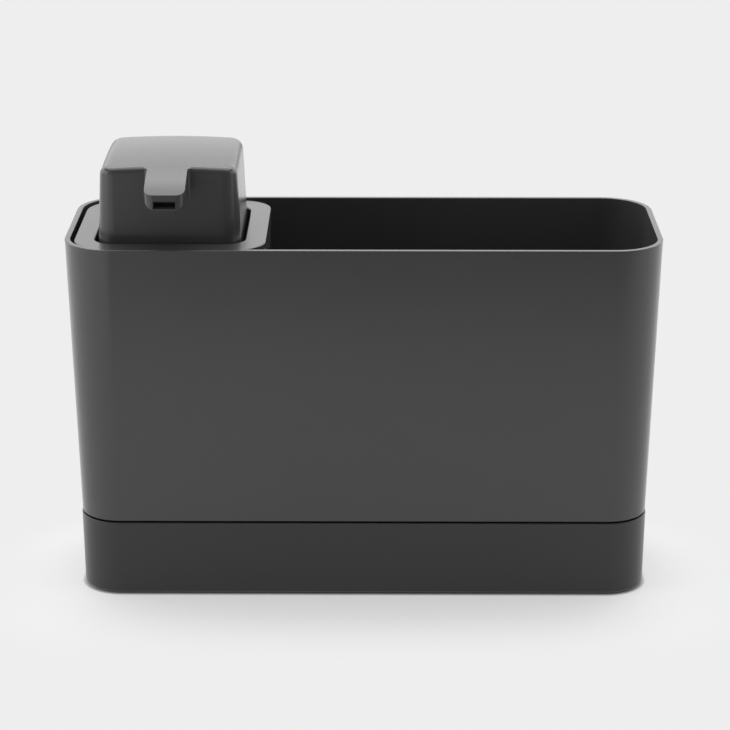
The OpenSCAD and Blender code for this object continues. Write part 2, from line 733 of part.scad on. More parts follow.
module spout_nozzle() {
    bore_w = outlet_w - 2 * outlet_sill;
    bore_h = outlet_h - outlet_sill;
    color("dimgray") at_pump() difference() {
        translate([-duct_w / 2, nozzle_front, duct_z]) cube([duct_w, duct_end - nozzle_front, duct_h]);
        translate([-bore_w / 2, nozzle_front - over, duct_bore_z])
            cube([bore_w, duct_end - nozzle_front + 2 * over, bore_h]);
    }
}

drip_tray();
tray_feet();
tub();
soap_bottle();
dispenser_lid();
lid_seal();
pump_cylinder();
cylinder_washer();
clamp_nut();
cylinder_cap();
ball_cage();
inlet_ball();
dip_tube();
return_spring();
piston();
piston_seal();
pump_stem();
outlet_ball();
ball_retainer();
spout_duct();
pump_head();
spout_nozzle();
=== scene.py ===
import math
from collections import namedtuple

import bmesh
import bpy
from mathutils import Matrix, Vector


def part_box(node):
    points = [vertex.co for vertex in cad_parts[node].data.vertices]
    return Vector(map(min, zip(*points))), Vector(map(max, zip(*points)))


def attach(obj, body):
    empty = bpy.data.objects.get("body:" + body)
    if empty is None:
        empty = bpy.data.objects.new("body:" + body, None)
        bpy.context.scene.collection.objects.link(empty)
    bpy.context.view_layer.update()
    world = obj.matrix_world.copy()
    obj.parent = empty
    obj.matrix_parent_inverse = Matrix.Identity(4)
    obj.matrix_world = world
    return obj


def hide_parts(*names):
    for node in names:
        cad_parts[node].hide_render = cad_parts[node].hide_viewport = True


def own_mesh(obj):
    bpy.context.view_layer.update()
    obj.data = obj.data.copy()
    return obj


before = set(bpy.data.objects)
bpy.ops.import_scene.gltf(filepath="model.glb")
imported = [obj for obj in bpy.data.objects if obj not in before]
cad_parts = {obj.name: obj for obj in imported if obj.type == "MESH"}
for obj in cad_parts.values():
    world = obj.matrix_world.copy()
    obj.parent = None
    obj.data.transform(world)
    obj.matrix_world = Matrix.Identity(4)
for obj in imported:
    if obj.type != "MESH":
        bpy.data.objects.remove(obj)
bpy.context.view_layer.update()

# Sizes are in metres. Places come from the frame. Walls, gaps and rounds are written in millimetres.
MM = 0.001

# Places closer than NEAR count as the same
NEAR = 0.05 * MM
WELD = NEAR / 50
LEAST_INSET = NEAR / 10

# How far a joined or cutting shape reaches past a face, and the play of pieces that are pressed together
OVER = 1 * MM
SNUG = 0.03 * MM

UP, DOWN = 1, -1


def slope(degrees):
    """How far a wall leans over one unit of its height."""
    return math.tan(math.radians(degrees))


# A rounded rectangle about y = 0, with its own corner radius at each end
Outline = namedtuple("Outline", "left right half left_r right_r")


def shrunk(outline, by):
    """The outline drawn in by a distance, about the same middles of its corners."""
    return Outline(outline.left + by, outline.right - by, outline.half - by,
                   outline.left_r - by, outline.right_r - by)


def outline_of(node, left_r, right_r):
    """The outline of a node's box, seen from above."""
    low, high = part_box(node)
    return Outline(low.x, high.x, (high.y - low.y) / 2, left_r, right_r)


def depth_in(point, outline):
    """How far a point lies inside an outline."""
    middle = (outline.left + outline.right) / 2
    radius = outline.left_r if point.x < middle else outline.right_r
    across = max(outline.left + radius - point.x, point.x - outline.right + radius)
    along = abs(point.y) - outline.half + radius
    if across > 0 and along > 0:
        return radius - math.hypot(across, along)
    return radius - max(across, along)


# Lowest and highest corners of CAD nodes
tub_low, tub_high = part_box("tub")
tray_low, tray_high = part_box("drip_tray")
feet_low, feet_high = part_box("tray_feet")
bottle_low, bottle_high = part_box("soap_bottle")
seal_low, seal_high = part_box("lid_seal")
cylinder_low, cylinder_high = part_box("pump_cylinder")
washer_low, washer_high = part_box("cylinder_washer")
nut_low, nut_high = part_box("clamp_nut")
tube_low, tube_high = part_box("dip_tube")
spring_low, spring_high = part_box("return_spring")
head_low, head_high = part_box("pump_head")
nozzle_low, nozzle_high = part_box("spout_nozzle")

# Main heights, and how far each wall leans
SEAM_GAP = 0.7 * MM
RIM_Z = tub_high.z
LID_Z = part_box("dispenser_lid")[1].z
MOUTH_Z = bottle_high.z
SEAM_Z = tray_high.z + SEAM_GAP
WALL_DRAFT = slope(1.7)
TRAY_DRAFT = slope(1)
HEAD_DRAFT = slope(2.5)

# Rounds: an outer edge that shows, a finer one, and the corners of a moulding
EDGE_ROUND = 0.4 * MM
FINE_ROUND = 0.3 * MM
CORNER_ROUND = 1.8 * MM


def wall_in(height):
    """How far a wall of the tub or the bottle has come in at a height below the rim."""
    return (RIM_Z - height) * WALL_DRAFT


# Tub and tray. The tray's wall stands a little prouder than the tub's above it.
TUB_CORNER = 19.3 * MM
TUB = outline_of("tub", TUB_CORNER, TUB_CORNER)
TUB_WALL = 2.1 * MM
FOOT_WALL = 2 * MM
FOOT_GAP = 0.7 * MM
FLOOR_WALL = 2.2 * MM
TUB_FLOOR_Z = tub_low.z + FLOOR_WALL
TRAY_WALL = 2.2 * MM
TRAY_PROUD = 0.25 * MM
SEAM_IN = wall_in(SEAM_Z)
TRAY_IN = SEAM_IN - TRAY_PROUD

# Inside, the tub steps in between these heights
STEP_TOP_Z = SEAM_Z + TUB_WALL + FOOT_WALL
STEP_LOW_Z = SEAM_Z + TUB_WALL / 2


def foot_in(height):
    """How far in from the rim's outline the outer face of the tub's foot lies."""
    return TRAY_IN + (tray_high.z - height) * TRAY_DRAFT + TRAY_WALL + FOOT_GAP


# Bottle and lid share one outline, given at the height of the rim. It is rounder at the tub's end.
END_CORNER = 15.9 * MM
BAY_CORNER = 13 * MM
DISPENSER = shrunk(outline_of("dispenser_lid", END_CORNER, BAY_CORNER), -wall_in(LID_Z))
DISPENSER_IN = DISPENSER.left - TUB.left
BOOT_GAP = 1 * MM
BOTTLE_WALL = 1.8 * MM
PLUG_GAP = 0.3 * MM
GROOVE_DEPTH = 0.9 * MM


def boot_in(height):
    """How far in from the dispenser's outline the outer face of the bottle's foot lies."""
    return foot_in(height) + FOOT_WALL - DISPENSER_IN + BOOT_GAP


def plug_in(height):
    """How far in from the dispenser's outline the face of the lid's plug lies."""
    return wall_in(height) + BOTTLE_WALL + PLUG_GAP


# Pump
PUMP_X = (cylinder_low.x + cylinder_high.x) / 2
BARREL_R = 8.8 * MM
FLANGE_R = washer_high.y
TUBE_R = tube_high.y


def about_pump(half, radius):
    """A square outline with rounded corners about the pump's axis."""
    return Outline(PUMP_X - half, PUMP_X + half, half, radius, radius)


# The square well that the head sinks into
WELL_HALF = 29 * MM
WELL_CORNER = 7.5 * MM
WELL = about_pump(WELL_HALF, WELL_CORNER)
WELL_FLOOR_Z = washer_low.z


# Modelling
def deselect():
    """Leaves edit mode and deselects everything."""
    if bpy.context.object and bpy.context.object.mode != "OBJECT":
        bpy.ops.object.mode_set(mode="OBJECT")
    bpy.ops.object.select_all(action="DESELECT")


def activate(piece):
    """Selects the piece alone."""
    deselect()
    piece.select_set(True)
    bpy.context.view_layer.objects.active = piece


def edit(piece):
    """Opens the piece in edit mode."""
    activate(piece)
    bpy.ops.object.mode_set(mode="EDIT")


def discard(piece):
    """Deletes an object and its mesh."""
    mesh = piece.data
    bpy.data.objects.remove(piece)
    bpy.data.meshes.remove(mesh)


def pick(piece, kind, test):
    """Selects the vertices, edges or faces in edit mode that pass a test, and says how many."""
    bpy.ops.mesh.select_mode(type=kind)
    bpy.ops.mesh.select_all(action="DESELECT")
    mesh = bmesh.from_edit_mesh(piece.data)
    items = {"VERT": mesh.verts, "EDGE": mesh.edges, "FACE": mesh.faces}[kind]
    chosen = [item for item in items if test(item)]
    for item in chosen:
        item.select_set(True)
    bmesh.update_edit_mesh(piece.data)
    return len(chosen)


def pick_cap(piece, facing):
    """Selects the largest level face that looks up or down."""
    level = 0.99
    mesh = bmesh.from_edit_mesh(piece.data)
    caps = [face for face in mesh.faces if face.normal.z * facing > level]
    cap = max(caps, key=lambda face: face.calc_area())
    place, area = cap.calc_center_median(), cap.calc_area()
    pick(piece, "FACE", lambda face: face.normal.z * facing > level
         and (face.calc_center_median() - place).length < NEAR and abs(face.calc_area() - area) < NEAR ** 2)


def new_piece(name):
    """Names the object that was just added, and puts its place and size into its mesh."""
    piece = bpy.context.object
    piece.name = name
    piece.data.name = name
    bpy.ops.object.transform_apply(location=True, rotation=True, scale=True)
    return piece


SLAB = 0.25 * MM
CORNER_STEPS = 16
LONG_SIDE = 10 * MM


def slab(name, outline, top, thickness=SLAB, steps=CORNER_STEPS, cuts=0):
    """A plane whose corners are rounded, extruded up into a closed slab. Cuts divide its straight sides."""
    deselect()
    middle = ((outline.left + outline.right) / 2, 0, top - thickness)
    bpy.ops.mesh.primitive_plane_add(size=1, location=middle)
    bpy.context.object.scale = (outline.right - outline.left, 2 * outline.half, 1)
    piece = new_piece(name)
    edit(piece)
    for end, radius in ((outline.left, outline.left_r), (outline.right, outline.right_r)):
        pick(piece, "VERT", lambda vert: abs(vert.co.x - end) < NEAR)
        bpy.ops.mesh.bevel(offset=radius, segments=steps, affect="VERTICES")
    if cuts:
        pick(piece, "EDGE", lambda edge: edge.calc_length() > LONG_SIDE)
        bpy.ops.mesh.subdivide(number_cuts=cuts)
    bpy.ops.mesh.select_all(action="SELECT")
    bpy.ops.mesh.extrude_region_move(TRANSFORM_OT_translate={"value": (0, 0, thickness)})
    return piece


def trace(piece, facing, start, path):
    """Draws a wall's section from the cap that looks up or down. Each point of the section is how
    far in from an outline it lies, and its height. The start is the cap's own edge."""
    pick_cap(piece, facing)
    last_inset, last_height = start
    for inset, height in path:
        thickness, rise = inset - last_inset, height - last_height
        if thickness < LEAST_INSET:
            bpy.ops.mesh.extrude_region_move(TRANSFORM_OT_translate={"value": (0, 0, rise)})
        else:
            bpy.ops.mesh.inset(thickness=thickness, depth=rise * facing, use_even_offset=True)
        last_inset, last_height = inset, height


def round_ring(piece, outline, inset, height, radius, steps=4):
    """Rounds the ring of edges that lies at one height, a given way in from the outline."""
    found = pick(piece, "EDGE", lambda edge: all(
        abs(vert.co.z - height) < NEAR and abs(depth_in(vert.co, outline) - inset) < 2 * NEAR
        for vert in edge.verts))
    if not found:
        raise ValueError(f"{piece.name} has no edges {inset / MM} mm in at height {height / MM} mm")
    bpy.ops.mesh.bevel(offset=radius, segments=steps, profile=0.5, affect="EDGES")


def block(name, low, high, rounding=0):
    """A box between two corners, with its edges rounded."""
    deselect()
    low, high = Vector(low), Vector(high)
    bpy.ops.mesh.primitive_cube_add(size=1, location=(low + high) / 2)
    bpy.context.object.scale = high - low
    piece = new_piece(name)
    if rounding:
        edit(piece)
        bpy.ops.mesh.select_all(action="SELECT")
        bpy.ops.mesh.bevel(offset=rounding, segments=2, affect="EDGES")
        deselect()
    return piece


def prism(name, section, travel):
    """A closed section of points in space, extruded into a solid."""
    deselect()
    bpy.ops.mesh.primitive_circle_add(vertices=len(section), radius=MM, fill_type="NGON")
    piece = new_piece(name)
    for vert, place in zip(piece.data.vertices, section):
        vert.co = place
    edit(piece)
    bpy.ops.mesh.select_all(action="SELECT")
    bpy.ops.mesh.extrude_region_move(TRANSFORM_OT_translate={"value": travel})
    bpy.ops.mesh.select_all(action="SELECT")
    bpy.ops.mesh.normals_make_consistent(inside=False)
    deselect()
    return piece


def arc(centre, radius, start, end, steps):
    """Points on an arc between two angles in degrees."""
    angles = [math.radians(start + (end - start) * i / steps) for i in range(steps + 1)]
    return [(centre[0] + radius * math.cos(angle), centre[1] + radius * math.sin(angle))
            for angle in angles]


def both_sides(right):
    """A closed outline from its right half."""
    return right + [(-across, along) for across, along in reversed(right)]


def rod(name, place, radius, low, high, sides=48):
    """An upright cylinder."""
    deselect()
    bpy.ops.mesh.primitive_cylinder_add(vertices=sides, radius=radius, depth=high - low,
                                        location=(place[0], place[1], (low + high) / 2))
    return new_piece(name)


def turned(name, section, steps=64):
    """A closed section of radius and height, spun about the pump's axis. It stays in edit mode."""
    deselect()
    bpy.ops.mesh.primitive_circle_add(vertices=len(section), radius=MM)
    piece = new_piece(name)
    for vert, (radius, height) in zip(piece.data.vertices, section):
        vert.co = (PUMP_X + radius, 0, height)
    edit(piece)
    bpy.ops.mesh.select_all(action="SELECT")
    bpy.ops.mesh.spin(steps=steps, angle=2 * math.pi, center=(PUMP_X, 0, 0), axis=(0, 0, 1))
    bpy.ops.mesh.select_all(action="SELECT")
    bpy.ops.mesh.remove_doubles(threshold=WELD)
    bpy.ops.mesh.delete_loose()
    bpy.ops.mesh.select_all(action="SELECT")
    bpy.ops.mesh.normals_make_consistent(inside=False)
    return piece


def soften(piece, *rings):
    """Rounds edge circles of a turned piece, each given by its radius, height and round."""
    for radius, height, rounding in rings:
        round_ring(piece, about_pump(radius, radius), 0, height, rounding, steps=2)
    deselect()


def helix(radius, turns, steps, height):
    """Points of a coil about the pump's axis. Its height is a function of the turns made."""
    angle = 2 * math.pi / steps
    return [(PUMP_X + radius * math.cos(i * angle), radius * math.sin(i * angle), height(i / steps))
            for i in range(turns * steps + 1)]


def coil(name, points, wire):
    """Round wire along points."""
    curve = bpy.data.curves.new(name, "CURVE")
    curve.dimensions = "3D"
    curve.bevel_depth = wire
    curve.bevel_resolution = 3
    curve.use_fill_caps = True
    line = curve.splines.new("POLY")
    line.points.add(len(points) - 1)
    for point, place in zip(line.points, points):
        point.co = (*place, 1)
    piece = bpy.data.objects.new(name, curve)
    bpy.context.collection.objects.link(piece)
    activate(piece)
    bpy.ops.object.convert(target="MESH")
    piece = bpy.context.object
    edit(piece)
    bpy.ops.mesh.select_all(action="SELECT")
    bpy.ops.mesh.remove_doubles(threshold=WELD)
    bpy.ops.mesh.normals_make_consistent(inside=False)
    deselect()
    return piece


def apply_modifier(piece, kind, **settings):
    """Puts a modifier with its settings on the piece and applies it."""
    activate(piece)
    modifier = piece.modifiers.new(kind.lower(), kind)
    for name, value in settings.items():
        setattr(modifier, name, value)
    bpy.ops.object.modifier_apply(modifier=modifier.name)


def combine(piece, operation, *tools):
    """Joins other solids to the piece, or cuts them out of it, and deletes them."""
    for tool in tools:
        apply_modifier(piece, "BOOLEAN", operation=operation, object=tool, solver="MANIFOLD")
        discard(tool)


def copies(piece, places):
    """Repeats the piece at each place and joins the copies into one mesh."""
    name, made = piece.name, []
    for place in places:
        twin = piece.copy()
        twin.data = piece.data.copy()
        twin.location = place
        bpy.context.collection.objects.link(twin)
        made.append(twin)
    discard(piece)
    deselect()
    for twin in made:
        twin.select_set(True)
    joined, spare = made[0], [twin.data for twin in made[1:]]
    bpy.context.view_layer.objects.active = joined
    bpy.ops.object.transform_apply(location=True, rotation=False, scale=False)
    bpy.ops.object.join()
    for mesh in spare:
        bpy.data.meshes.remove(mesh)
    joined.name = name
    joined.data.name = name
    return joined


# Materials
class Wire:
    """A value from a socket. Sums and products of wires add their Math nodes."""

    def __init__(self, finish, socket):
        self.finish, self.socket = finish, socket

    def maths(self, operation, first, second):
        return self.finish.node("ShaderNodeMath", {"operation": operation}, {0: first, 1: second})

    def __add__(self, other):
        return self.maths("ADD", self, other)

    def __sub__(self, other):
        return self.maths("SUBTRACT", self, other)

    def __rsub__(self, other):
        return self.maths("SUBTRACT", other, self)

    def __mul__(self, other):
        return self.maths("MULTIPLY", self, other)

    __radd__, __rmul__ = __add__, __mul__


def grey(level, warmth=0.0):
    """A grey, turned from blue towards red by its warmth."""
    return (level * (1 + warmth), level, level * (1 - warmth))


class Finish:
    """The nodes of a material or a world in the making. They are wired as they are made."""

    def __init__(self, holder):
        self.holder = holder
        self.holder.use_nodes = True
        self.tree = self.holder.node_tree
        self.tree.nodes.clear()

    def add(self, kind, settings, sockets):
        """Adds a node of a type, with its settings and with the values or links of its sockets."""
        made = self.tree.nodes.new(kind)
        for name, value in (settings or {}).items():
            setattr(made, name, value)
        for name, value in (sockets or {}).items():
            if isinstance(value, Wire):
                self.tree.links.new(value.socket, made.inputs[name])
            else:
                made.inputs[name].default_value = value
        return made

    def node(self, kind, settings=None, sockets=None, output=0):
        """Adds a node and gives one of its outputs."""
        return Wire(self, self.add(kind, settings, sockets).outputs[output])

    def end(self, surface, kind="ShaderNodeOutputMaterial"):
        """Wires the surface to the output and gives what holds the nodes."""
        self.add(kind, None, {"Surface": surface})
        return self.holder

    def place(self):
        """The place of a point on the piece."""
        return self.node("ShaderNodeTexCoord", output="Object")

    def noise(self, where, scale, detail=2, roughness=0.5):
        """Soft noise from 0 to 1 about a half."""
        return self.node("ShaderNodeTexNoise", None, {
            "Vector": where, "Scale": scale, "Detail": detail, "Roughness": roughness})

    def between(self, factor, dark, light):
        """The dark colour where the factor is 0, and the light one where it is 1."""
        return self.node("ShaderNodeMix", {"data_type": "RGBA"}, {
            0: factor, 6: (*dark, 1), 7: (*light, 1)}, output=2)

    def bump(self, height, strength, distance):
        """A normal that follows small heights."""
        return self.node("ShaderNodeBump", None, {
            "Height": height, "Strength": strength, "Distance": distance})

    def vectors(self, operation, *values, output=0):
        """Vector maths on one or two values."""
        return self.node("ShaderNodeVectorMath", {"operation": operation}, dict(enumerate(values)), output)

    def seen(self):
        """1 where the camera looks straight at the surface, and 0 for every other ray."""
        return self.node("ShaderNodeLightPath", output="Is Camera Ray")

    def glow(self, level):
        """Even light of a grey."""
        return self.node("ShaderNodeEmission", None, {"Color": (*grey(level), 1), "Strength": 1.0})

    def mixed(self, factor, first, second):
        """The first surface where the factor is 0, and the second where it is 1."""
        return self.node("ShaderNodeMixShader", None, {0: factor, 1: first, 2: second})


def moulded(name, dark, light, roughness):
    """Moulded plastic or rubber: a fine spark texture, and faint flow clouds in its colour and gloss."""
    grain, grain_depth, bump_strength = 0.5 * MM, 0.012 * MM, 0.35
    clouds_per_metre, spread = 18, 0.02
    finish = Finish(bpy.data.materials.new(name))
    where = finish.place()
    clouds = finish.noise(where, clouds_per_metre, detail=3)
    spark = finish.noise(where, 1 / grain, detail=2, roughness=0.6)
    uneven = roughness - spread / 2 + clouds * spread + (spark - 0.5) * (2 * spread)
    surface = finish.node("ShaderNodeBsdfPrincipled", None, {
        "Base Color": finish.between(clouds, dark, light), "Roughness": uneven, "IOR": 1.5,
        "Normal": finish.bump(spark, bump_strength, grain_depth)})
    return finish.end(surface)


def polished_steel():
    """Steel of the balls and the spring, with fine wear in its colour and gloss."""
    wear_size, polish, dulling = 0.2 * MM, 0.16, 0.1
    finish = Finish(bpy.data.materials.new("valve steel"))
    wear = finish.noise(finish.place(), 1 / wear_size, detail=4)
    surface = finish.node("ShaderNodeBsdfPrincipled", None, {
        "Base Color": finish.between(wear, grey(0.52), grey(0.62)), "Metallic": 1.0,
        "Roughness": polish + wear * dulling})
    return finish.end(surface)


# The finish of each material slot in the record
FINISHES = {
    "body_plastic": moulded("dark grey plastic", grey(0.037), grey(0.043), 0.26),
    "tray_plastic": moulded("tray plastic", grey(0.011), grey(0.014), 0.33),
    "pump_plastic": moulded("white pump plastic", grey(0.62, 0.01), grey(0.68, 0.01), 0.34),
    "seal_rubber": moulded("grey seal rubber", grey(0.10), grey(0.13), 0.55),
    "foot_rubber": moulded("foot rubber", grey(0.06), grey(0.08), 0.62),
    "nozzle_rubber": moulded("dark nozzle rubber", grey(0.10), grey(0.11), 0.5),
    "valve_steel": polished_steel(),
}
SMOOTH_ANGLE = math.radians(32)


def show(piece, body, slot, node):
    """Shades the piece, gives it its slot's finish and puts it on its body in place of a CAD node."""
    activate(piece)
    bpy.ops.object.shade_smooth_by_angle(angle=SMOOTH_ANGLE)
    apply_modifier(piece, "WEIGHTED_NORMAL", keep_sharp=True)
    piece.data.materials.clear()
    piece.data.materials.append(FINISHES[slot])
    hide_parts(node)
    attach(piece, body)


def dress(slot, *nodes):
    """Gives CAD nodes that keep their meshes their slot's finish."""
    for node in nodes:
        mesh = bpy.data.objects[node].data
        mesh.materials.clear()
        mesh.materials.append(FINISHES[slot])


# Drip tray
FEET_R = 6 * MM
FEET_PLAY = 0.05 * MM


def foot_places():
    """Middles of the feet: one at the origin and one near each corner."""
    corners = [(x, y, 0) for x in (feet_low.x + FEET_R, feet_high.x - FEET_R)
               for y in (feet_low.y + FEET_R, feet_high.y - FEET_R)]
    return [(0, 0, 0)] + corners


def rest_ribs(outline, floor_top):
    """Six short ribs that stand out from the tray's long walls and carry the tub."""
    half, length, pitch = 1 * MM, 14 * MM, 80 * MM
    root = outline.half - (tray_high.z - tub_low.z) * TRAY_DRAFT - TRAY_WALL / 2
    rib = block("rest rib", (-half, -length / 2, floor_top - OVER), (half, length / 2, tub_low.z),
                rounding=FINE_ROUND)
    return copies(rib, [(x, side * (root - length / 2), 0) for x in (-pitch, 0, pitch) for side in (-1, 1)])


def drip_tray():
    """A shallow tray with a drafted wall, ribs on its floor and pockets for the feet underneath."""
    top, under = tray_high.z, tray_low.z
    floor_top = under + FLOOR_WALL
    under_in = (top - under) * TRAY_DRAFT
    floor_in = (top - floor_top) * TRAY_DRAFT + TRAY_WALL
    under_round = 0.9 * MM
    outline = shrunk(TUB, TRAY_IN)
    piece = slab("tray_shell", outline, top)
    trace(piece, DOWN, (0, top - SLAB), [(under_in, under)])
    trace(piece, UP, (0, top), [(TRAY_WALL, top), (floor_in, floor_top)])
    round_ring(piece, outline, 0, top, EDGE_ROUND)
    round_ring(piece, outline, TRAY_WALL, top, FINE_ROUND, steps=2)
    round_ring(piece, outline, under_in, under, under_round, steps=5)
    round_ring(piece, outline, floor_in, floor_top, CORNER_ROUND)
    combine(piece, "UNION", rest_ribs(outline, floor_top))
    pocket = rod("pocket", (0, 0), FEET_R + FEET_PLAY, under - OVER, feet_high.z)
    combine(piece, "DIFFERENCE", copies(pocket, foot_places()))
    show(piece, "base", "tray_plastic", "drip_tray")


def tray_feet():
    """Rubber discs with a shallow recess underneath."""
    radius, rim, recess = FEET_R - FEET_PLAY, 2 * MM, 0.3 * MM
    piece = rod("rubber_feet", (0, 0), radius, feet_low.z, feet_high.z)
    edit(piece)
    pick_cap(piece, DOWN)
    bpy.ops.mesh.inset(thickness=rim, use_even_offset=True)
    bpy.ops.mesh.inset(thickness=recess, depth=-recess, use_even_offset=True)
    centred = Outline(-radius, radius, radius, radius, radius)
    round_ring(piece, centred, 0, feet_low.z, FINE_ROUND, steps=3)
    deselect()
    show(copies(piece, foot_places()), "base", "foot_rubber", "tray_feet")


# Tub
FENCE_WALL = 1.5 * MM


def fence():
    """A low wall on the tub's floor that keeps the bottle in its end."""
    half, top, gap = 20 * MM, TUB_FLOOR_Z + 8 * MM, 0.6 * MM
    left = DISPENSER.right - boot_in(top) + gap
    return block("fence", (left, -half, TUB_FLOOR_Z - OVER), (left + FENCE_WALL, half, top),
                 rounding=EDGE_ROUND)


def slot_cutter(width, length):
    """An upright bar with round ends: a cylinder whose halves are drawn apart."""
    piece = rod("drain cutter", (0, 0), width / 2, tub_low.z - OVER, TUB_FLOOR_Z + OVER, sides=22)
    edit(piece)
    for side in (-1, 1):
        pick(piece, "VERT", lambda vert: vert.co.y * side > 0)
        bpy.ops.transform.translate(value=(0, side * (length - width) / 2, 0))
    deselect()
    return piece


def drain_cutters(floor_in):
    """Two rows of slot cutters in the open bay, between the fence and the right end."""
    width, length, pitch, count = 3 * MM, 22 * MM, 20 * MM, 6
    bay_left, bay_right = DISPENSER.right - wall_in(STEP_TOP_Z), TUB.right - floor_in
    middle = (bay_left + bay_right + FENCE_WALL) / 2
    places = [(middle + (i - (count - 1) / 2) * pitch, side * (length / 2 + width), 0)
              for i in range(count) for side in (-1, 1)]
    return copies(slot_cutter(width, length), places)


def tub():
    """An open tub whose foot is narrower and stands in the tray."""
    under = tub_low.z
    floor_in = foot_in(TUB_FLOOR_Z) + FOOT_WALL
    inner_round = 0.25 * MM
    piece = slab("tub_shell", TUB, RIM_Z)
    trace(piece, DOWN, (0, RIM_Z - SLAB), [
        (SEAM_IN, SEAM_Z), (foot_in(SEAM_Z), SEAM_Z), (foot_in(under), under)])
    trace(piece, UP, (0, RIM_Z), [
        (TUB_WALL, RIM_Z), (TUB_WALL + wall_in(STEP_TOP_Z), STEP_TOP_Z),
        (foot_in(STEP_LOW_Z) + FOOT_WALL, STEP_LOW_Z), (floor_in, TUB_FLOOR_Z)])
    round_ring(piece, TUB, 0, RIM_Z, EDGE_ROUND)
    round_ring(piece, TUB, TUB_WALL, RIM_Z, inner_round, steps=3)
    round_ring(piece, TUB, SEAM_IN, SEAM_Z, FINE_ROUND, steps=2)
    round_ring(piece, TUB, foot_in(under), under, CORNER_ROUND)
    round_ring(piece, TUB, floor_in, TUB_FLOOR_Z, CORNER_ROUND)
    combine(piece, "UNION", fence())
    combine(piece, "DIFFERENCE", drain_cutters(floor_in))
    show(piece, "caddy", "body_plastic", "tub")


# Bottle and lid
def soap_bottle():
    """The bottle follows the tub's inner face, and steps in above the tub's own step."""
    step_gap, floor_wall, base_round = 1 * MM, 2 * MM, 1.5 * MM
    under, floor_top = bottle_low.z, bottle_low.z + floor_wall
    step_top, step_low = STEP_TOP_Z + step_gap, STEP_LOW_Z + step_gap
    mouth_in = wall_in(MOUTH_Z)
    piece = slab("bottle_shell", shrunk(DISPENSER, mouth_in), MOUTH_Z)
    trace(piece, DOWN, (mouth_in, MOUTH_Z - SLAB), [
        (wall_in(step_top), step_top), (boot_in(step_low), step_low), (boot_in(under), under)])
    trace(piece, UP, (mouth_in, MOUTH_Z), [
        (mouth_in + BOTTLE_WALL, MOUTH_Z), (wall_in(step_top) + BOTTLE_WALL, step_top + BOTTLE_WALL / 2),
        (boot_in(step_low) + BOTTLE_WALL, step_low + BOTTLE_WALL / 2),
        (boot_in(floor_top) + BOTTLE_WALL, floor_top)])
    round_ring(piece, DISPENSER, mouth_in, MOUTH_Z, EDGE_ROUND, steps=3)
    round_ring(piece, DISPENSER, mouth_in + BOTTLE_WALL, MOUTH_Z, FINE_ROUND, steps=2)
    round_ring(piece, DISPENSER, boot_in(under), under, base_round, steps=5)
    round_ring(piece, DISPENSER, boot_in(floor_top) + BOTTLE_WALL, floor_top, base_round)
    show(piece, "bottle", "body_plastic", "soap_bottle")


def lid_plate():
    """The lid's plate with the plug below it and the groove for the seal round the plug."""
    plug_depth, plug_wall, plate_round = 11 * MM, 2 * MM, 0.7 * MM
    plug_low, plate_in = MOUTH_Z - plug_depth, wall_in(LID_Z)
    groove_low, groove_high = seal_low.z - SNUG, seal_high.z + SNUG
    piece = slab("lid_plate", shrunk(DISPENSER, plate_in), LID_Z)
    trace(piece, DOWN, (plate_in, LID_Z - SLAB), [
        (plate_in, MOUTH_Z), (plug_in(MOUTH_Z), MOUTH_Z), (plug_in(groove_high), groove_high),
        (plug_in(groove_low), groove_low), (plug_in(plug_low), plug_low),
        (plug_in(plug_low) + plug_wall, plug_low), (plug_in(MOUTH_Z) + plug_wall, MOUTH_Z)])
    pick(piece, "FACE", lambda face: all(
        groove_low - NEAR < vert.co.z < groove_high + NEAR for vert in face.verts))
    bpy.ops.mesh.extrude_region_shrink_fatten(TRANSFORM_OT_shrink_fatten={
        "value": -GROOVE_DEPTH, "use_even_offset": True})
    round_ring(piece, DISPENSER, plate_in, LID_Z, plate_round, steps=5)
    round_ring(piece, DISPENSER, plate_in, MOUTH_Z, EDGE_ROUND, steps=3)
    round_ring(piece, DISPENSER, plug_in(plug_low), plug_low, EDGE_ROUND, steps=3)
    deselect()
    return piece


def dispenser_lid():
    """The plate with its square well, and the hole for the pump in the well's floor."""
    wall, floor, below_plate = 1.6 * MM, 2.4 * MM, 1.3 * MM
    floor_round, rim_round, corner_steps = 1.2 * MM, 0.5 * MM, 10
    outer_top, outer_low = LID_Z - below_plate, WELL_FLOOR_Z - floor
    piece = lid_plate()
    combine(piece, "UNION",
            slab("well wall", shrunk(WELL, -wall), outer_top, outer_top - outer_low, corner_steps))
    well = slab("well", WELL, LID_Z + OVER, LID_Z + OVER - WELL_FLOOR_Z, corner_steps)
    round_ring(well, WELL, 0, WELL_FLOOR_Z, floor_round)
    combine(piece, "DIFFERENCE", well)
    hole = rod("hole", (PUMP_X, 0), BARREL_R + SNUG, outer_low - OVER, WELL_FLOOR_Z + OVER)
    combine(piece, "DIFFERENCE", hole)
    edit(piece)
    round_ring(piece, WELL, 0, LID_Z, rim_round)
    show(piece, "lid", "body_plastic", "dispenser_lid")


def lid_seal():
    """A soft ring that stands a little proud of its groove in the plug."""
    low, high = seal_low.z, seal_high.z
    proud, play, edge = 0.22 * MM, 0.04 * MM, 0.6 * MM
    outer, inner = plug_in(low) - proud, plug_in(low) + GROOVE_DEPTH - play
    outline = shrunk(DISPENSER, outer)
    piece = slab("seal_ring", outline, high, high - low)
    core = slab("seal core", shrunk(DISPENSER, inner), high + OVER, high - low + 2 * OVER)
    combine(piece, "DIFFERENCE", core)
    edit(piece)
    for height in (low, high):
        round_ring(piece, outline, 0, height, edge)
    show(piece, "lid", "seal_rubber", "lid_seal")


# Pump
def thread(top):
    """A raised thread round the barrel."""
    pitch, turns, steps, wire = 2.5 * MM, 7, 48, 0.4 * MM
    return coil("thread", helix(BARREL_R, turns, steps, lambda turn: top - pitch * turn), wire)


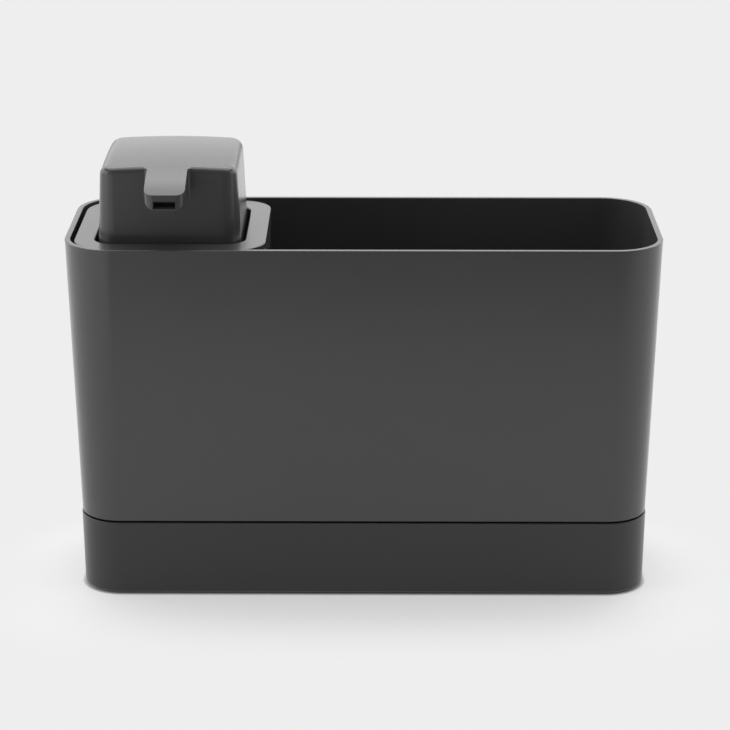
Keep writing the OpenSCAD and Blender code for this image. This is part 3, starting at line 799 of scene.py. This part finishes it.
def pump_cylinder():
    """The barrel hangs by its flange. A narrow nipple below it holds the dip tube and the ball's seat."""
    top, flange_low = cylinder_high.z, washer_high.z
    bore, nipple, chamber, throat = 7.4 * MM, 4.9 * MM, 3.13 * MM, 1.6 * MM
    bore_low, nipple_low = top - 42 * MM, tube_high.z - 10 * MM
    seat, tube_bore = tube_high.z + 2 * MM, TUBE_R + SNUG
    shoulder_round, thread_drop = 0.8 * MM, 4 * MM
    piece = turned("pump_barrel", [
        (bore, top), (FLANGE_R, top), (FLANGE_R, flange_low), (BARREL_R, flange_low), (BARREL_R, bore_low),
        (nipple, bore_low - BARREL_R + nipple), (nipple, nipple_low), (tube_bore, nipple_low),
        (tube_bore, tube_high.z), (throat, tube_high.z), (throat, seat),
        (chamber, seat + chamber - throat), (chamber, bore_low), (bore, bore_low)])
    soften(piece, (FLANGE_R, top, EDGE_ROUND), (FLANGE_R, flange_low, EDGE_ROUND),
           (BARREL_R, bore_low, shoulder_round), (nipple, nipple_low, EDGE_ROUND))
    combine(piece, "UNION", thread(washer_low.z - thread_drop))
    show(piece, "lid", "pump_plastic", "pump_cylinder")


def cylinder_washer():
    """A flat soft ring under the barrel's flange."""
    inner, low, high = BARREL_R + SNUG, washer_low.z, washer_high.z
    piece = turned("washer_ring", [(inner, low), (FLANGE_R, low), (FLANGE_R, high), (inner, high)])
    soften(piece, (FLANGE_R, low, FINE_ROUND), (FLANGE_R, high, FINE_ROUND))
    show(piece, "lid", "seal_rubber", "cylinder_washer")


def clamp_nut():
    """A ring with upright grip ribs, whose tops are rounded."""
    inner, outer, rib, count = 9.25 * MM, 14 * MM, 0.9 * MM, 10
    low, high, rib_drop, ring_round = nut_low.z, nut_high.z, 2 * MM, 0.6 * MM
    piece = turned("grip_nut", [(inner, low), (outer, low), (outer, high), (inner, high)])
    soften(piece, (outer, low, ring_round), (outer, high, ring_round), (inner, low, EDGE_ROUND))
    grip = rod("grip", (0, 0), rib, low, high - rib_drop, sides=16)
    edit(grip)
    pick_cap(grip, UP)
    bpy.ops.mesh.bevel(offset=EDGE_ROUND, segments=2, affect="EDGES")
    deselect()
    turns = [2 * math.pi * i / count for i in range(count)]
    combine(piece, "UNION", copies(grip, [
        (PUMP_X + outer * math.cos(turn), outer * math.sin(turn), 0) for turn in turns]))
    show(piece, "lid", "pump_plastic", "clamp_nut")


def dip_tube():
    """A tube whose lower end is cut off at a slant."""
    inner, low, high = 2.6 * MM, tube_low.z, tube_high.z
    piece = turned("siphon_tube", [(inner, low), (TUBE_R, low), (TUBE_R, high), (inner, high)], steps=48)
    bpy.ops.mesh.select_all(action="SELECT")
    bpy.ops.mesh.bisect(plane_co=(PUMP_X - TUBE_R, 0, low), plane_no=(1, 0, -1),
                        clear_outer=True, use_fill=True)
    show(piece, "lid", "pump_plastic", "dip_tube")


def return_spring():
    """A spring with closed end turns, which in the pump shortens as the head is pressed."""
    wire, mean, turns, steps, end_gap = 0.55 * MM, 5.6 * MM, 7, 40, 0.5 * MM
    low, high = spring_low.z + wire, spring_high.z - wire
    end_pitch = 2 * wire + end_gap

    def height(turn):
        if turn < 1:
            return low + turn * end_pitch
        if turn > turns - 1:
            return high - (turns - turn) * end_pitch
        return low + end_pitch + (turn - 1) / (turns - 2) * (high - low - 2 * end_pitch)

    piece = coil("spring_wire", helix(mean, turns, steps, height), wire)
    show(piece, "lid", "valve_steel", "return_spring")
    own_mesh(piece)


# Pump head
HEAD_WALL = 2 * MM
HEAD_HALF = (head_high.x - head_low.x) / 2
HEAD_CORNER = 6.884 * MM
HEAD = about_pump(HEAD_HALF, HEAD_CORNER)
SHOULDER_Z = head_high.z - 4 * MM
FRONT_ROUND = 2.2 * MM
SIDE_ROUND = 4 * MM
CROWN_RISE = 0.2 * MM
CROWN_RADIUS = 350 * MM
CREST_Y = 5 * MM
SPOUT_HALF = 7.7 * MM
SPOUT_FRONT_Y = head_low.y
SPOUT_LOW_Z = LID_Z + 17.2 * MM
SPOUT_TIP_Z = LID_Z + 23.2 * MM
OUTLET_LOW_Z = nozzle_low.z - SNUG
OUTLET_HIGH_Z = OUTLET_LOW_Z + 2.7 * MM
SOCKET_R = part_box("spout_duct")[1].y + SNUG


def head_in(height):
    """How far in from its lower edge the head's wall lies at a height."""
    return (height - head_low.z) * HEAD_DRAFT


def crown(x, y):
    """Height of the head's shallow dome."""
    return head_high.z + CROWN_RISE - ((x - PUMP_X) ** 2 + (y - CREST_Y) ** 2) / (2 * CROWN_RADIUS)


def tongue_top(y):
    """Height of the spout's back, which leaves the dome and bends down to the tip."""
    sunk = 0.2 * MM
    start = -(HEAD_HALF - head_in(head_high.z)) + FRONT_ROUND
    share = (start - y) / (start - SPOUT_FRONT_Y)
    if share < 0:
        return crown(PUMP_X, y) - sunk
    fall = 0.5 * share + 0.5 * share ** 2
    return crown(PUMP_X, start) - (crown(PUMP_X, start) - SPOUT_TIP_Z) * fall


def spout_tongue():
    """The spout is what its outlines from the side, from above and from the front have in common."""
    back, steps = head_low.y + 22 * MM, 24
    tip_corner, low_corner, flare, edge = 3.4 * MM, 4.6 * MM, 1.2 * MM, 0.8 * MM
    root = -HEAD_HALF + head_in(SPOUT_LOW_Z)
    flare_start = root - flare
    reach = SPOUT_HALF + 2 * flare
    run = [SPOUT_FRONT_Y + (back - SPOUT_FRONT_Y) * i / steps for i in range(steps + 1)]
    side = [(y, tongue_top(y)) for y in run] + [(back, SPOUT_LOW_Z), (SPOUT_FRONT_Y, SPOUT_LOW_Z)]
    tongue = prism("tongue", [(PUMP_X - reach, y, z) for y, z in side], (2 * reach, 0, 0))

    right = arc((SPOUT_HALF - tip_corner, SPOUT_FRONT_Y + tip_corner), tip_corner, -90, 0, 10)
    right += arc((SPOUT_HALF + flare, flare_start), flare, 180, 90, 6)
    right += [(SPOUT_HALF + flare, back)]
    plan = prism("plan", [(PUMP_X + x, y, SPOUT_LOW_Z - OVER) for x, y in both_sides(right)],
                 (0, 0, head_high.z - SPOUT_LOW_Z + 3 * OVER))

    right = arc((SPOUT_HALF - low_corner, SPOUT_LOW_Z + low_corner), low_corner, -90, 0, 10)
    right += [(SPOUT_HALF, SPOUT_LOW_Z + low_corner + OVER), (SPOUT_HALF, head_high.z + OVER)]
    front = prism("front", [(PUMP_X + x, SPOUT_FRONT_Y - OVER, z) for x, z in both_sides(right)],
                  (0, flare_start - SPOUT_FRONT_Y + OVER, 0))
    inside = block("inside", (PUMP_X - reach, flare_start - NEAR, SPOUT_LOW_Z),
                   (PUMP_X + reach, back, head_high.z + OVER))
    combine(front, "UNION", inside)
    combine(tongue, "INTERSECT", plan, front)
    apply_modifier(tongue, "BEVEL", width=edge, segments=4, limit_method="ANGLE",
                   angle_limit=math.radians(40), use_clamp_overlap=True)
    return tongue


def crown_round(point, outline):
    """Radius of the head's upper edge: small along the front, full along the sides and the back."""
    zone, blend = 7 * MM, 5 * MM
    towards_front = min(max((-point.y - outline.half + zone) / blend, 0), 1)
    return SIDE_ROUND - (SIDE_ROUND - FRONT_ROUND) * towards_front


def raise_crown(piece):
    """Lifts the flat top onto the dome, and bends its edge down into the walls."""
    outline = shrunk(HEAD, head_in(SHOULDER_Z))
    mesh = bmesh.from_edit_mesh(piece.data)
    for vert in mesh.verts:
        if vert.co.z > SHOULDER_Z - NEAR:
            radius = crown_round(vert.co, outline)
            left = max(radius - depth_in(vert.co, outline), 0)
            fall = radius - math.sqrt(max(radius ** 2 - left ** 2, 0))
            vert.co.z = crown(vert.co.x, vert.co.y) - fall
    bmesh.update_edit_mesh(piece.data)


def head_shell(ceiling):
    """Drafted walls under the dome, hollow from below up to the ceiling. The rings of the top lie
    closer together where its edge bends most."""
    low, crowded, ceiling_round = head_low.z, 1 * MM, 1 * MM
    rings = [0, 0.12, 0.35, 0.7, 1.1, 1.6, 2.3, 3.1, 4, 5.3]
    piece = slab("head_shell", HEAD, low + SLAB, cuts=11)
    trace(piece, UP, (0, low + SLAB), [(head_in(SHOULDER_Z) + ring * MM, SHOULDER_Z) for ring in rings])
    bpy.ops.mesh.remove_doubles(threshold=crowded)
    bpy.ops.mesh.delete(type="ONLY_FACE")
    pick(piece, "EDGE", lambda edge: edge.is_boundary)
    bpy.ops.mesh.fill_grid()
    raise_crown(piece)
    trace(piece, DOWN, (0, low), [(HEAD_WALL, low), (HEAD_WALL + head_in(ceiling), ceiling)])
    round_ring(piece, HEAD, 0, low, EDGE_ROUND, steps=3)
    round_ring(piece, HEAD, HEAD_WALL, low, FINE_ROUND, steps=2)
    round_ring(piece, HEAD, HEAD_WALL + head_in(ceiling), ceiling, ceiling_round, steps=3)
    deselect()
    return piece


def head_ribs(ceiling):
    """The collar that holds the duct, and the ribs between it and the walls."""
    half, bite, collar_wall = 0.8 * MM, 0.2 * MM, 1.6 * MM
    low, top = nozzle_high.z, ceiling + bite
    reach = HEAD_HALF - head_in(ceiling) - HEAD_WALL + bite
    return (rod("collar", (PUMP_X, 0), SOCKET_R + collar_wall, nozzle_low.z, top),
            block("cross rib", (PUMP_X - reach, -half, low), (PUMP_X + reach, half, top)),
            block("back rib", (PUMP_X - half, 0, low), (PUMP_X + half, reach, top)))


def head_cutters():
    """The duct's socket, the channel to the nozzle, and the outlet in the spout's front."""
    outlet_half, channel_back = 4.25 * MM, -1 * MM
    return (rod("socket", (PUMP_X, 0), SOCKET_R, nozzle_low.z - OVER, nozzle_high.z + SNUG),
            block("channel", (nozzle_low.x - SNUG, nozzle_low.y - SNUG, OUTLET_LOW_Z),
                  (nozzle_high.x + SNUG, channel_back, nozzle_high.z + SNUG)),
            block("outlet", (PUMP_X - outlet_half, SPOUT_FRONT_Y - OVER, OUTLET_LOW_Z),
                  (PUMP_X + outlet_half, 0, OUTLET_HIGH_Z)))


def pump_head():
    """The head: its shell, the spout over its front, the ribs inside and the openings for the outlet."""
    ceiling = head_high.z - HEAD_WALL
    piece = head_shell(ceiling)
    combine(piece, "UNION", spout_tongue())
    combine(piece, "UNION", *head_ribs(ceiling))
    combine(piece, "DIFFERENCE", *head_cutters())
    show(piece, "head", "body_plastic", "pump_head")


def spout_nozzle():
    """A rubber bar through the channel, with a bore and a wider mouth at its front."""
    low, high = nozzle_low, nozzle_high
    bore_half, bore_height, bore_low = 3.45 * MM, 1.9 * MM, low.z + 0.8 * MM
    mouth_half, mouth_depth, lip, edge = 4.1 * MM, 6 * MM, 0.1 * MM, 0.2 * MM
    piece = block("rubber_nozzle", low, high, rounding=edge)
    bore = block("bore", (PUMP_X - bore_half, low.y - OVER, bore_low),
                 (PUMP_X + bore_half, high.y + OVER, bore_low + bore_height))
    mouth = block("mouth", (PUMP_X - mouth_half, low.y - OVER, OUTLET_LOW_Z + lip),
                  (PUMP_X + mouth_half, low.y + mouth_depth, OUTLET_HIGH_Z - lip))
    combine(piece, "DIFFERENCE", bore, mouth)
    show(piece, "head", "nozzle_rubber", "spout_nozzle")


# Stage, lights and camera. A grey of 1 is white.
BACKDROP = 0.855
ROOM = 0.22
FLOOR_SHADE = 0.42
FLOOR_FILL = 0.47
WING_SHINE = 1.35
FLOOR_FRONT_Y = -0.38


def beyond(finish, forward, half, start, end):
    """How far a place on the floor lies outside a box, from 0 at the start to 1 at the end. The box
    is given by half its size, and its middle by how far it lies in front of the origin."""
    place = finish.vectors("ADD", finish.place(), (0, forward, 0))
    outside = finish.vectors("SUBTRACT", finish.vectors("ABSOLUTE", place), half)
    away = finish.vectors("LENGTH", finish.vectors("MAXIMUM", outside, (0, 0, 0)), output="Value")
    return finish.node("ShaderNodeMapRange", {"interpolation_type": "SMOOTHSTEP"}, {
        "Value": away, "From Min": start, "From Max": end})


def floor_finish():
    """A pale floor that keeps the object's shadow. To the camera it fades to the backdrop further out. Its
    own fill is less round the tray and none under it, which paints a dark contact shadow there."""
    shadow_forward, shadow_half, fade_width = 0.027, (0.104, 0.027, 0), 0.05
    tray_half, painted_shadow_start, painted_shadow_end = (0.0957, 0.0222, 0), 0.0159, 0.0174
    fill_kept = 0.8
    finish = Finish(bpy.data.materials.new("pale floor"))
    fade = beyond(finish, shadow_forward, shadow_half, 0, fade_width)
    # Painted contact shadow: the camera sees no fill glow on the floor under the tray, out to about the
    # tray's outline
    clear = beyond(finish, 0, tray_half, painted_shadow_start, painted_shadow_end)
    seen = finish.seen()
    lit = finish.node("ShaderNodeBsdfDiffuse", None, {"Color": (*grey(FLOOR_SHADE), 1)})
    fill = finish.mixed(seen * (1 - clear * fill_kept), finish.glow(FLOOR_FILL), finish.glow(0))
    near = finish.node("ShaderNodeAddShader", None, {0: lit, 1: fill})
    return finish.end(finish.mixed(fade * seen, near, finish.glow(BACKDROP)))


def wing_finish():
    """Bright in the object's gloss, and like the backdrop to the camera."""
    finish = Finish(bpy.data.materials.new("bright wing"))
    return finish.end(finish.mixed(finish.seen(), finish.glow(WING_SHINE), finish.glow(BACKDROP)))


def stage_plane(name, size, middle, material):
    """A level plane that isn't part of the object."""
    deselect()
    bpy.ops.mesh.primitive_plane_add(size=1)
    bpy.context.object.scale = (*size, 1)
    bpy.context.object.location = (*middle, 0)
    plane = new_piece(name)
    plane.data.materials.append(material)


def pale_floor():
    """The floor ends in front of the object, out of the camera's view. On the left a wing of it
    reaches further forward."""
    depth, wing_depth = 6, 1.2
    stage_plane("floor", (6, depth), (0, FLOOR_FRONT_Y + depth / 2), floor_finish())
    stage_plane("floor wing", (2, wing_depth), (-1.19, FLOOR_FRONT_Y - wing_depth / 2), wing_finish())


def pale_world():
    """The backdrop is pale to the camera. To everything else the room is dim in front and above
    the camera, and the softboxes light it."""
    finish = Finish(bpy.data.worlds.new("pale room"))
    room = finish.node("ShaderNodeBackground", None, {"Color": (*grey(ROOM), 1)})
    pale = finish.node("ShaderNodeBackground", None, {"Color": (*grey(BACKDROP), 1)})
    bpy.context.scene.world = finish.end(finish.mixed(finish.seen(), room, pale), "ShaderNodeOutputWorld")


def aim(thing, place, direction):
    """Adds a lamp or a camera at a place, looking in a direction."""
    bpy.context.collection.objects.link(thing)
    thing.location = place
    thing.rotation_euler = Vector(direction).to_track_quat("-Z", "Y").to_euler()


def softbox(name, place, target, size, power):
    """A wide soft lamp that looks at a target."""
    lamp = bpy.data.lights.new(name, "AREA")
    lamp.shape = "RECTANGLE"
    lamp.size, lamp.size_y = size
    lamp.energy = power
    aim(bpy.data.objects.new(name, lamp), place, Vector(target) - Vector(place))


def soft_light():
    """Softboxes above, behind and on both sides."""
    softbox("overhead softbox", place=(0, 0.25, 1.1), target=(0, 0.2, 0.1), size=(1.3, 1.2), power=14)
    softbox("rear softbox", place=(0, 1.3, 0.8), target=(0, 0, 0.2), size=(2.4, 1.4), power=13.6)
    softbox("upper rear softbox", place=(0, 0.95, 1.05), target=(0, 0, 0.16), size=(2, 0.5), power=3.6)
    softbox("left softbox", place=(-0.9, 0, 0.4), target=(0, 0, 0.12), size=(1.6, 0.7), power=8.4)
    softbox("right softbox", place=(0.9, 0.2, 0.4), target=(0, 0, 0.12), size=(1.6, 0.7), power=6.1)


def photo_camera():
    """The camera of the photograph: its place, its direction and its focal length."""
    place, direction = (0.0061, -0.9757, 0.4017), (-0.0056, 0.9506, -0.3105)
    sensor, focal_pixels, frame_pixels = 36, 2566.7, 730
    lens = bpy.data.cameras.new("camera")
    lens.sensor_width = sensor
    lens.lens = focal_pixels / frame_pixels * sensor
    lens.clip_start, lens.clip_end = 0.05, 50
    camera = bpy.data.objects.new("camera", lens)
    aim(camera, place, direction)
    bpy.context.scene.camera = camera


drip_tray()
tray_feet()
tub()
soap_bottle()
dispenser_lid()
lid_seal()
pump_cylinder()
cylinder_washer()
clamp_nut()
dip_tube()
return_spring()
pump_head()
spout_nozzle()
dress("pump_plastic", "cylinder_cap", "ball_cage", "piston", "pump_stem", "ball_retainer", "spout_duct")
dress("seal_rubber", "piston_seal")
dress("valve_steel", "inlet_ball", "outlet_ball")
pale_floor()
pale_world()
soft_light()
photo_camera()
bpy.context.scene.view_settings.view_transform = "Standard"
